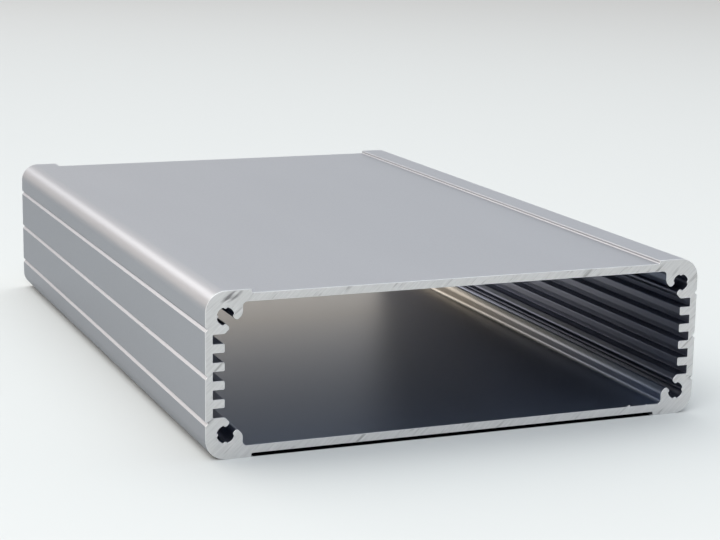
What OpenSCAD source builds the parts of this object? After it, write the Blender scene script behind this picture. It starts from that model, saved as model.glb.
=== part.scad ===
// Open-ended aluminium extrusion that houses a 100 mm wide circuit card.
// Millimetres, +Z up. The length runs along Y, and the origin is the centre of the footprint.

/* [Body] */
// Length between the two sawn ends
body_length = 160; // [40:1:240]
// Width over the outer sides
body_width = 103.6; // [80:0.1:160]
// Height over the four rails
body_height = 32; // [28:0.5:60]
// Radius of the four long outer corners
corner_r = 4; // [2:0.1:4.6]
// Thickness of the sides behind the card slots
side_wall = 1.45; // [1.2:0.05:1.9]
// Thickness of the top and bottom plates
plate_wall = 1.6; // [1:0.05:2.4]

/* [Sunken plates] */
// Width of each rail that stands proud of a plate
rail_width = 8.95; // [7.6:0.05:14]
// Depth of a plate's outer face below its rails
plate_sink = 0.7; // [0.55:0.05:1]
// Radius along the top edge of a rail's step
step_edge_r = 0.2; // [0.1:0.05:0.25]
// Radius in the root of a rail's step
step_root_r = 0.3; // [0.2:0.05:0.4]

/* [Card slots] */
// Distance from one slot to the next
slot_pitch = 3.5; // [3.2:0.1:5]
// Height of each slot
slot_gap = 1.8; // [1.4:0.05:2.3]
// Depth of each slot from the tips of its ribs
slot_depth = 2.3; // [1.9:0.05:2.8]
// Radius on each rib's tip edges
rib_tip_r = 0.3; // [0.1:0.05:0.4]
// Radius in each slot's root corners
slot_root_r = 0.15; // [0.05:0.05:0.3]

/* [Screw ports] */
// Diameter of a port between its nubs
port_d = 3.4; // [3.3:0.05:3.7]
// Width of a port's mouth
mouth_width = 1.8; // [1.6:0.05:1.9]
// Radius of each of the four nubs that a screw bites into
nub_r = 0.4; // [0.3:0.05:0.45]
// Distance from a port's axis to the outer side
port_inset_x = 3.9; // [3.6:0.05:4.4]
// Distance from a port's axis to the rail's face
port_inset_z = 4.8; // [4.3:0.02:5.2]
// Wall between a port and the boss's inner face
boss_wall = 1.65; // [1.45:0.05:2]
// Thinnest wall between a port and the nearest slot
port_floor = 1.2; // [1:0.05:1.4]
// Radius on the boss's inner edge
boss_edge_r = 1.6; // [0.3:0.1:1.6]
// Radius where the boss meets the plate
boss_root_r = 0.8; // [0.2:0.05:0.8]
// Radius between an end slot and the boss's slanted face
shoulder_r = 0.8; // [0.2:0.1:0.8]
// Radius at the tip of each lip of a port's mouth
lip_tip_r = 0.55; // [0.1:0.05:0.6]

/* [Side grooves] */
// Number of grooves along each outer side
groove_count = 3; // [1:2:3]
// Distance from one groove to the next
groove_pitch = 8.9; // [4:0.1:9]
// Width of each groove at the surface
groove_width = 1; // [0.6:0.05:1.2]
// Depth of each groove
groove_depth = 0.45; // [0.2:0.05:0.6]

/* [Hidden] */
$fn = 64;

// Share of its radius at which an arc's centre lies from an edge that it bites into
arc_bite = 0.995;

half_width = body_width / 2;
half_height = body_height / 2;
port_r = port_d / 2;

// Inner faces, from the body's long axis
rail_x = half_width - rail_width;
plate_outer_z = half_height - plate_sink;
plate_inner_z = plate_outer_z - plate_wall;
slot_root_x = half_width - side_wall;
rib_tip_x = slot_root_x - slot_depth;

// Screw ports, with a mouth that opens at 45 degrees towards the long axis
port_x = half_width - port_inset_x;
port_z = half_height - port_inset_z;
boss_x = port_x - port_r - boss_wall;
nub_offset = mouth_width / 2 + nub_r;

// As many slots as the height between the ports takes
slot_field = 2 * (port_z - port_r - port_floor);
slot_count = floor((slot_field - slot_gap) / slot_pitch) + 1;
slot_span = (slot_count - 1) * slot_pitch;
slots_top_z = (slot_span + slot_gap) / 2;

// The boss's slanted face runs at 45 degrees from the end slot's mouth to the boss's inner face
boss_shoulder_z = slots_top_z + rib_tip_x - boss_x;

function unit(v) = v / norm(v);
function flat(p) = [p[0], p[1]];
function turned_left(v) = [-v[1], v[0]];
function mirrored(points) = [for (i = [len(points) - 1:-1:0]) [-points[i][0], points[i][1], points[i][2]]];
function cross_z(a, b) = a[0] * b[1] - a[1] * b[0];

// Each outline goes clockwise, and each of its points is [x, z, corner radius]
function groove_points(z) = [
    [half_width, z + groove_width / 2, 0],
    [half_width - groove_depth, z, 0],
    [half_width, z - groove_width / 2, 0],
];

function slot_points(z, upper_r, lower_r) = [
    [rib_tip_x, z + slot_gap / 2, upper_r],
    [slot_root_x, z + slot_gap / 2, slot_root_r],
    [slot_root_x, z - slot_gap / 2, slot_root_r],
    [rib_tip_x, z - slot_gap / 2, lower_r],
];

outer_side = concat(
    [[half_width, half_height, corner_r]],
    [for (i = [0:groove_count - 1]) each groove_points(((groove_count - 1) / 2 - i) * groove_pitch)],
    [[half_width, -half_height, corner_r]]
);

sink_side = [
    [rail_x + plate_sink, half_height + plate_sink, 0],
    [rail_x + plate_sink, half_height, 0],
    [rail_x, half_height, step_edge_r],
    [rail_x, plate_outer_z, step_root_r],
];

inner_side = concat(
    [
        [boss_x, plate_inner_z, boss_root_r],
        [boss_x, boss_shoulder_z, boss_edge_r],
    ],
    [
        for (i = [0:slot_count - 1]) each slot_points(
            slot_span / 2 - i * slot_pitch,
            i == 0 ? shoulder_r : rib_tip_r,
            i == slot_count - 1 ? shoulder_r : rib_tip_r
        )
    ],
    [
        [boss_x, -boss_shoulder_z, boss_edge_r],
        [boss_x, -plate_inner_z, boss_root_r],
    ]
);

// What an arc of radius r takes off an outward corner at p
module outward_corner_cut(p, before, after, r) {
    to_before = unit(before - p);
    to_after = unit(after - p);
    half_angle = acos(to_before * to_after) / 2;
    tangent = r / tan(half_angle);
    centre = p + unit(to_before + to_after) * r / sin(half_angle);
    difference() {
        polygon([p, p + to_before * tangent, centre, p + to_after * tangent]);
        translate(centre) circle(r = r);
    }
}

// What an arc of radius r fills in at an inward corner at p. The filling laps over the outline on
// both sides, and its arc crosses them at about 6 degrees.
module inward_corner_fill(p, before, after, r) {
    to_before = unit(before - p);
    to_after = unit(after - p);
    half_angle = acos(to_before * to_after) / 2;
    inset = r * arc_bite;
    tangent = inset / tan(half_angle);
    bisector = unit(to_before + to_after);
    centre = p + bisector * inset / sin(half_angle);
    difference() {
        polygon([
            centre,
            p + to_before * tangent + turned_left(to_before) * r / 2,
            p - bisector * r / 2,
            p + to_after * tangent - turned_left(to_after) * r / 2,
        ]);
        translate(centre) circle(r = r);
    }
}

// A clockwise outline with an arc at each corner that has a radius
module rounded_outline(points) {
    count = len(points);
    before = [for (i = [0:count - 1]) flat(points[(i + count - 1) % count])];
    here = [for (p = points) flat(p)];
    after = [for (i = [0:count - 1]) flat(points[(i + 1) % count])];
    radius = [for (p = points) p[2]];
    turns = [for (i = [0:count - 1]) cross_z(here[i] - before[i], after[i] - here[i])];
    difference() {
        union() {
            polygon(here);
            for (i = [0:count - 1]) {
                if (turns[i] > 0 && radius[i] > 0) inward_corner_fill(here[i], before[i], after[i], radius[i]);
            }
        }
        for (i = [0:count - 1]) {
            if (turns[i] < 0 && radius[i] > 0) outward_corner_cut(here[i], before[i], after[i], radius[i]);
        }
    }
}

// One screw port about its own axis, with its mouth along +X. A nub stands at each of four corners,
// and the two beside the mouth run out into its lips.
module port() {
    lip_end = (port_x + port_z - rib_tip_x - slots_top_z) / sqrt(2);
    difference() {
        union() {
            circle(r = port_r);
            translate([0, -nub_offset]) square([lip_end + nub_r, 2 * nub_offset]);
        }
        for (side = [-1, 1]) {
            translate([-nub_offset, side * nub_offset]) circle(r = nub_r);
            translate([nub_offset, side * nub_offset]) circle(r = nub_r);
            translate([nub_offset, side * nub_offset - nub_r]) square([lip_end, 2 * nub_r]);
        }
    }
    for (side = [0, 1]) {
        mirror([0, side]) translate([lip_end - lip_tip_r * arc_bite, mouth_width / 2]) lip_tip_cut();
    }
}

// What rounds a lip's tip, from where its arc leaves the mouth's wall
module lip_tip_cut() {
    difference() {
        translate([0, -lip_tip_r]) square(2 * lip_tip_r);
        translate([0, lip_tip_r]) circle(r = lip_tip_r);
    }
}

// The cross-section, symmetrical from side to side and from top to bottom
module section() {
    difference() {
        rounded_outline(concat(outer_side, mirrored(outer_side)));
        rounded_outline(concat(inner_side, mirrored(inner_side)));
        for (z = [0, 1]) {
            mirror([0, z]) rounded_outline(concat(sink_side, mirrored(sink_side)));
        }
        for (x = [0, 1]) {
            for (z = [0, 1]) {
                mirror([x, 0]) mirror([0, z]) translate([port_x, port_z]) rotate(225) port();
            }
        }
    }
}

module enclosure_body() {
    color([0.76, 0.77, 0.79])
        translate([0, body_length / 2, half_height])
            rotate([90, 0, 0])
                linear_extrude(height = body_length) section();
}

enclosure_body();
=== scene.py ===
import math

import bmesh
import bpy
from mathutils import Matrix, Vector


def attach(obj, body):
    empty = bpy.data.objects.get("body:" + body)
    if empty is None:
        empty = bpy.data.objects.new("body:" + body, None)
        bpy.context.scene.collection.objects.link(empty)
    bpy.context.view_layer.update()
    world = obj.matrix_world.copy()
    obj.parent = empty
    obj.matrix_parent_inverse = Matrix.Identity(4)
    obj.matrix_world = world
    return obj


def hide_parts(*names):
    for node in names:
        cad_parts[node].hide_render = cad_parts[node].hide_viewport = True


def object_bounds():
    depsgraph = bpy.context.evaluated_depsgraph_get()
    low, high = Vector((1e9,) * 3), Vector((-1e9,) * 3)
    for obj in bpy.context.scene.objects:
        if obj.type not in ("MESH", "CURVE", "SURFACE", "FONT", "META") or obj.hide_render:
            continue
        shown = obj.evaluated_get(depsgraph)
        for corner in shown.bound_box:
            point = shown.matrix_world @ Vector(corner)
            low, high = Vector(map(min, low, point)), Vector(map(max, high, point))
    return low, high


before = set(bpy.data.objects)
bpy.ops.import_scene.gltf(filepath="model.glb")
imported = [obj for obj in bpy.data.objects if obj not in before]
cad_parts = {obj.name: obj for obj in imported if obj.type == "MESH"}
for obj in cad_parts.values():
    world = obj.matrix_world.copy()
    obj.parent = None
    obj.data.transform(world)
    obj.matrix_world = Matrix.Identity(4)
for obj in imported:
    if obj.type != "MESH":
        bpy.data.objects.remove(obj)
cad_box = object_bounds()

MM = 0.001
HALF_WIDTH, HALF_LENGTH, HEIGHT = cad_box[1]
CORNER_R = 4 * MM
PLATE_HALF_WIDTH = 42.85 * MM
# The inside's painted warm reflection on the plates turns to the ribs' painted cool one between these
# two.
BOSS_EDGE, RIBS_START = 45 * MM, 47 * MM
RIM_WIDTH = 0.09 * MM

# Finishes, in the order that the extrusion carries them
OUTSIDE, INSIDE, SAWN, RIM = range(4)

# Dark handling marks on the front sawn face: middle, half size along and across, lean
HANDLING_MARKS = [
    ((-46.7 * MM, -HALF_LENGTH, 30.9 * MM), (2.6 * MM, 8 * MM, 0.9 * MM), -25),
    ((-50.8 * MM, -HALF_LENGTH, 7.7 * MM), (1.3 * MM, 8 * MM, 0.5 * MM), -40),
    ((51 * MM, -HALF_LENGTH, 7.2 * MM), (1 * MM, 8 * MM, 0.6 * MM), 20),
]

# Burrs left on the front inner edges by the saw: place and radius
BURRS = [
    ((37.1 * MM, 0.15 * MM - HALF_LENGTH, 2.38 * MM), 0.14 * MM),
    ((37.45 * MM, 0.19 * MM - HALF_LENGTH, 2.42 * MM), 0.18 * MM),
    ((41.3 * MM, 0.13 * MM - HALF_LENGTH, 2.36 * MM), 0.1 * MM),
]


# Materials

class Recipe:
    """A material's nodes, laid down one at a time and joined as they come."""

    def __init__(self, name):
        self.material = bpy.data.materials.new(name)
        self.material.use_nodes = True
        self.tree = self.material.node_tree
        self.tree.nodes.clear()
        self.output = self.tree.nodes.new("ShaderNodeOutputMaterial")
        self.coords = self.tree.nodes.new("ShaderNodeTexCoord").outputs["Object"]

    def join(self, source, socket):
        if isinstance(source, bpy.types.NodeSocket):
            self.tree.links.new(source, socket)
        else:
            socket.default_value = source

    def metal(self, roughness, **inputs):
        shader = self.tree.nodes.new("ShaderNodeBsdfPrincipled")
        self.join(roughness, shader.inputs["Roughness"])
        for name, source in inputs.items():
            self.join(source, shader.inputs[name.replace("_", " ")])
        self.join(shader.outputs["BSDF"], self.output.inputs["Surface"])

    def drawn_out(self, stretch, turn=(0, 0, 0), at=(0, 0, 0)):
        """Coordinates that make a pattern longer by stretch, then turn it and move it to at."""
        node = self.tree.nodes.new("ShaderNodeMapping")
        node.vector_type = "TEXTURE"
        self.join(self.coords, node.inputs["Vector"])
        node.inputs["Location"].default_value = at
        node.inputs["Rotation"].default_value = turn
        node.inputs["Scale"].default_value = stretch
        return node.outputs["Vector"]

    def noise(self, vector, scale, detail=2, roughness=0.5):
        node = self.tree.nodes.new("ShaderNodeTexNoise")
        self.join(vector, node.inputs["Vector"])
        node.inputs["Scale"].default_value = scale
        node.inputs["Detail"].default_value = detail
        node.inputs["Roughness"].default_value = roughness
        return node.outputs["Fac"]

    def spread(self, source, low, high, to_low=0, to_high=1):
        node = self.tree.nodes.new("ShaderNodeMapRange")
        self.join(source, node.inputs["Value"])
        node.inputs["From Min"].default_value = low
        node.inputs["From Max"].default_value = high
        node.inputs["To Min"].default_value = to_low
        node.inputs["To Max"].default_value = to_high
        return node.outputs["Result"]

    def part_of(self, vector, axis):
        node = self.tree.nodes.new("ShaderNodeSeparateXYZ")
        self.join(vector, node.inputs["Vector"])
        return node.outputs[axis]

    def worked_out(self, operation, a, b=0):
        node = self.tree.nodes.new("ShaderNodeMath")
        node.operation = operation
        self.join(a, node.inputs[0])
        self.join(b, node.inputs[1])
        return node.outputs["Value"]

    def patch(self, at, size, lean):
        """1 at the middle of a leaning oval patch of that size, falling to 0 at its edge."""
        node = self.tree.nodes.new("ShaderNodeTexGradient")
        node.gradient_type = "SPHERICAL"
        self.join(self.drawn_out(size, (0, math.radians(lean), 0), at), node.inputs["Vector"])
        return node.outputs["Fac"]

    def blend_colours(self, share, a, b):
        node = self.tree.nodes.new("ShaderNodeMix")
        node.data_type = "RGBA"
        self.join(share, node.inputs["Factor"])
        self.join(a, node.inputs["A"])
        self.join(b, node.inputs["B"])
        return node.outputs["Result"]

    def bump(self, height, distance, strength=1.0):
        node = self.tree.nodes.new("ShaderNodeBump")
        self.join(height, node.inputs["Height"])
        node.inputs["Distance"].default_value = distance
        node.inputs["Strength"].default_value = strength
        return node.outputs["Normal"]


def satin_outside():
    """Clear anodising over an etched skin."""
    recipe = Recipe("satin_outside")
    grain = recipe.noise(recipe.drawn_out((1, 2, 1)), 4200, 3, 0.6)
    drawn = recipe.noise(recipe.drawn_out((1, 250, 1)), 1500, 2)
    mottle = recipe.noise(recipe.drawn_out((1, 4, 1)), 60, 3)
    colour = recipe.blend_colours(mottle, (0.46, 0.472, 0.495, 1), (0.49, 0.502, 0.525, 1))
    roughness = recipe.spread(grain, 0.3, 0.7, 0.31, 0.37)
    relief = recipe.worked_out("ADD", grain, recipe.worked_out("MULTIPLY", drawn, 0.4))
    recipe.metal(
        roughness, Metallic=0.8, Specular_Tint=(0.36, 0.38, 0.41, 1),
        Base_Color=colour, Normal=recipe.bump(relief, 0.000004, 0.5))
    return recipe.material


def inside_painted_reflection():
    """Anodised drawn metal with painted reflection in its colour: a warm tint on the plates, a cooler
    one among the ribs, and a painted blue reflection towards the front end.
    """
    recipe = Recipe("inside_painted_reflection")
    drawn = recipe.noise(recipe.drawn_out((1, 400, 1)), 1400, 2)
    # Painted reflection: the plates' warm tint and the ribs' cooler one stand in for warm and cool
    # reflections.
    plates = recipe.blend_colours(drawn, (0.46, 0.445, 0.4, 1), (0.49, 0.47, 0.425, 1))
    # Painted blue reflection: the plates turn blue towards the front end.
    painted_blue_reflection_share = recipe.spread(recipe.part_of(recipe.coords, "Y"), 15 * MM, -75 * MM)
    plates = recipe.blend_colours(painted_blue_reflection_share, plates, (0.36, 0.43, 0.56, 1))
    ribs = recipe.blend_colours(drawn, (0.27, 0.3, 0.38, 1), (0.3, 0.33, 0.41, 1))
    across = recipe.worked_out("ABSOLUTE", recipe.part_of(recipe.coords, "X"))
    colour = recipe.blend_colours(recipe.spread(across, BOSS_EDGE, RIBS_START), plates, ribs)
    roughness = recipe.spread(drawn, 0.3, 0.7, 0.34, 0.35)
    recipe.metal(
        roughness, Metallic=1, Specular_Tint=(0.56, 0.56, 0.58, 1), Base_Color=colour)
    return recipe.material


def sawn_aluminium():
    """Bare metal with the saw's slanting scores."""
    recipe = Recipe("sawn_aluminium")
    slant = (0, math.radians(48), 0)
    scores = recipe.noise(recipe.drawn_out((1, 1, 16), slant), 2600, 3, 0.65)
    deep = recipe.spread(recipe.noise(recipe.drawn_out((1, 1, 8), slant), 900, 2), 0.6, 0.72)
    cloud = recipe.noise(recipe.coords, 300, 3)
    colour = recipe.blend_colours(
        recipe.spread(scores, 0.3, 0.7), (0.7, 0.69, 0.665, 1), (0.84, 0.83, 0.805, 1))
    colour = recipe.blend_colours(deep, colour, (0.45, 0.44, 0.42, 1))
    smeared = recipe.drawn_out((1, 1, 5), (0, math.radians(60), 0))
    streaks = recipe.spread(recipe.noise(smeared, 1500, 3), 0.42, 0.6)
    for at, size, lean in HANDLING_MARKS:
        mark = recipe.spread(recipe.patch(at, size, lean), 0, 0.5)
        colour = recipe.blend_colours(
            recipe.worked_out("MULTIPLY", mark, streaks), colour, (0.26, 0.25, 0.25, 1))
    roughness = recipe.spread(cloud, 0.3, 0.7, 0.45, 0.6)
    relief = recipe.worked_out("SUBTRACT", scores, deep)
    recipe.metal(
        roughness, Metallic=0.4, Base_Color=colour, Normal=recipe.bump(relief, 0.00002, 0.5))
    return recipe.material


def rim_painted_highlight():
    """The thin rim along each sawn edge, and the burrs that stand on it, paler than the sawn face: a
    painted highlight on real bevelled edges.
    """
    recipe = Recipe("rim_painted_highlight")
    highlight_mottle = recipe.noise(recipe.coords, 900, 2)
    # Painted highlight: the rim and burrs get pale colours so that they read as bright lines and
    # specks.
    colour = recipe.blend_colours(highlight_mottle, (0.8, 0.79, 0.78, 1), (0.95, 0.95, 0.94, 1))
    recipe.metal(0.35, Metallic=0.6, Base_Color=colour)
    return recipe.material


def pale_floor():
    """Pale, and nearly black, a painted shadow, in the thin strip of floor under the sunken bottom
    plate.
    """
    recipe = Recipe("pale_floor")
    shader = recipe.tree.nodes.new("ShaderNodeBsdfDiffuse")
    across = recipe.worked_out("ABSOLUTE", recipe.part_of(recipe.coords, "X"))
    along = recipe.worked_out("ABSOLUTE", recipe.part_of(recipe.coords, "Y"))
    # Painted shadow in the strip of floor under the sunken bottom plate.
    painted_gap_shadow = recipe.worked_out(
        "MULTIPLY",
        recipe.spread(across, PLATE_HALF_WIDTH, PLATE_HALF_WIDTH - 0.5 * MM),
        recipe.spread(along, HALF_LENGTH, HALF_LENGTH - 0.2 * MM))
    colour = recipe.blend_colours(painted_gap_shadow, (0.63, 0.645, 0.635, 1), (0.008, 0.008, 0.01, 1))
    recipe.join(colour, shader.inputs["Color"])
    recipe.join(shader.outputs["BSDF"], recipe.output.inputs["Surface"])
    return recipe.material


# The extrusion

def merged_copy(node):
    """The solid's loose triangles as one closed skin, each flat as few faces as it can be."""
    skin = bmesh.new()
    skin.from_mesh(node.data)
    bmesh.ops.remove_doubles(skin, verts=skin.verts, dist=0.002 * MM)
    bmesh.ops.dissolve_limit(
        skin, angle_limit=math.radians(0.3), use_dissolve_boundaries=False,
        verts=skin.verts, edges=skin.edges)
    return skin


def sawn_edges(skin):
    return [e for e in skin.edges if len(e.link_faces) == 2
            and sum(abs(f.normal.y) > 0.9 for f in e.link_faces) == 1]


def on_outer_skin(face):
    """True on the outer sides, the four long rounded corners, the rails and the sunken plates."""
    centre = face.calc_center_median()
    across, up = abs(centre.x), abs(centre.z - HEIGHT / 2)
    past_arc_centre = max(across - HALF_WIDTH + CORNER_R, 0), max(up - HEIGHT / 2 + CORNER_R, 0)
    on_side, on_rail_or_plate = across > HALF_WIDTH - 0.5 * MM, up > HEIGHT / 2 - 0.8 * MM
    return on_side or on_rail_or_plate or math.hypot(*past_arc_centre) > CORNER_R - 0.5 * MM


def sawn_enclosure():
    skin = merged_copy(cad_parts["enclosure_body"])
    for face in skin.faces:
        face.smooth = True
        if abs(face.normal.y) > 0.9:
            face.material_index = SAWN
        else:
            face.material_index = OUTSIDE if on_outer_skin(face) else INSIDE
    rims = bmesh.ops.bevel(
        skin, geom=sawn_edges(skin), offset=RIM_WIDTH, offset_type="OFFSET", affect="EDGES",
        segments=2, profile=0.5, material=-1, clamp_overlap=False)["faces"]
    # Rim faces and burrs take the painted highlight.
    for face in rims:
        face.smooth = True
        face.material_index = RIM
    for at, radius in BURRS:
        burr = bmesh.ops.create_icosphere(
            skin, subdivisions=2, radius=radius, matrix=Matrix.Translation(at))["verts"]
        for face in {face for vert in burr for face in vert.link_faces}:
            face.smooth = True
            face.material_index = RIM
    for edge in skin.edges:
        if len(edge.link_faces) == 2:
            bend = math.degrees(edge.calc_face_angle(0))
            at_grooves = min(abs(v.co.x) for v in edge.verts) > HALF_WIDTH - 0.6 * MM
            edge.smooth = not (bend > 60 or (bend > 30 and at_grooves))
    mesh = bpy.data.meshes.new("sawn_enclosure")
    skin.to_mesh(mesh)
    skin.free()
    piece = bpy.data.objects.new("sawn_enclosure", mesh)
    bpy.context.collection.objects.link(piece)
    for finish in (satin_outside, inside_painted_reflection, sawn_aluminium, rim_painted_highlight):
        mesh.materials.append(finish())
    weighted = piece.modifiers.new("flats_stay_flat", "WEIGHTED_NORMAL")
    weighted.keep_sharp = True
    weighted.weight = 100
    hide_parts("enclosure_body")
    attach(piece, "root")


# Studio

def studio_floor():
    sweep = bmesh.new()
    bmesh.ops.create_grid(sweep, x_segments=1, y_segments=1, size=6)
    mesh = bpy.data.meshes.new("studio_floor")
    sweep.to_mesh(mesh)
    sweep.free()
    floor = bpy.data.objects.new("studio_floor", mesh)
    bpy.context.collection.objects.link(floor)
    mesh.materials.append(pale_floor())


def studio_air():
    """A dim cool room in front, and a bright wall behind that warms towards the right."""
    world = bpy.data.worlds.new("studio_air")
    bpy.context.scene.world = world
    world.use_nodes = True
    nodes, links = world.node_tree.nodes, world.node_tree.links
    direction = nodes.new("ShaderNodeSeparateXYZ")
    links.new(nodes.new("ShaderNodeTexCoord").outputs["Generated"], direction.inputs["Vector"])

    def turning(axis, low, high, a, b):
        share = nodes.new("ShaderNodeMapRange")
        share.interpolation_type = "SMOOTHSTEP"
        share.inputs["From Min"].default_value = low
        share.inputs["From Max"].default_value = high
        links.new(direction.outputs[axis], share.inputs["Value"])
        mix = nodes.new("ShaderNodeMix")
        mix.data_type = "RGBA"
        links.new(share.outputs["Result"], mix.inputs["Factor"])
        for socket, source in ((mix.inputs["A"], a), (mix.inputs["B"], b)):
            if isinstance(source, bpy.types.NodeSocket):
                links.new(source, socket)
            else:
                socket.default_value = source
        return mix.outputs["Result"]

    wall = turning("X", -0.3, 0.5, (1.52, 1.38, 1.27, 1), (1.24, 1.23, 1.24, 1))
    air = turning("Y", -0.7, 0.5, (0.03, 0.06, 0.13, 1), wall)
    links.new(air, nodes["Background"].inputs["Color"])


def softbox(name, at, towards, size, power, colour=(1, 1, 1)):
    lamp = bpy.data.lights.new(name, "AREA")
    lamp.shape = "RECTANGLE"
    lamp.size, lamp.size_y = size
    lamp.energy = power
    lamp.color = colour
    holder = bpy.data.objects.new(name, lamp)
    bpy.context.collection.objects.link(holder)
    holder.location = at
    holder.rotation_euler = (Vector(towards) - Vector(at)).to_track_quat("-Z", "Y").to_euler()


def view_from_front_left():
    """The camera stands to the front left, above the top plate, and leans a little."""
    lens = bpy.data.cameras.new("studio_camera")
    lens.sensor_width = 36
    lens.lens = 94.252
    lens.clip_start = 0.01
    lens.clip_end = 50
    camera = bpy.data.objects.new("studio_camera", lens)
    bpy.context.collection.objects.link(camera)
    yaw, lift, lean = (math.radians(a) for a in (-21.938, 11.755, 0.8623))
    back = Vector((math.sin(yaw) * math.cos(lift), -math.cos(yaw) * math.cos(lift), math.sin(lift)))
    level = Vector((-back.y, back.x, 0)).normalized()
    upright = back.cross(level)
    right = math.cos(lean) * level + math.sin(lean) * upright
    up = math.cos(lean) * upright - math.sin(lean) * level
    at = Vector((-21.629 * MM, -HALF_LENGTH, 34.187 * MM)) + back * 351.97 * MM
    camera.matrix_world = Matrix((right, up, back)).transposed().to_4x4()
    camera.matrix_world.translation = at
    bpy.context.scene.camera = camera


sawn_enclosure()
studio_floor()
studio_air()
softbox("overhead_softbox", (-0.05, 0.1, 1.1), (0, 0.05, 0), (1.6, 1.6), 8.4, (0.8, 0.93, 1))
softbox("rear_softbox", (-0.39, 1.28, 0.57), (0, 0, 0.03), (0.4, 0.4), 1.15, (1, 0.97, 0.95))
softbox("front_softbox", (-0.45, -0.7, 0.85), (0, 0, 0), (0.8, 0.6), 5.5)
view_from_front_left()
bpy.context.scene.view_settings.view_transform = "Standard"
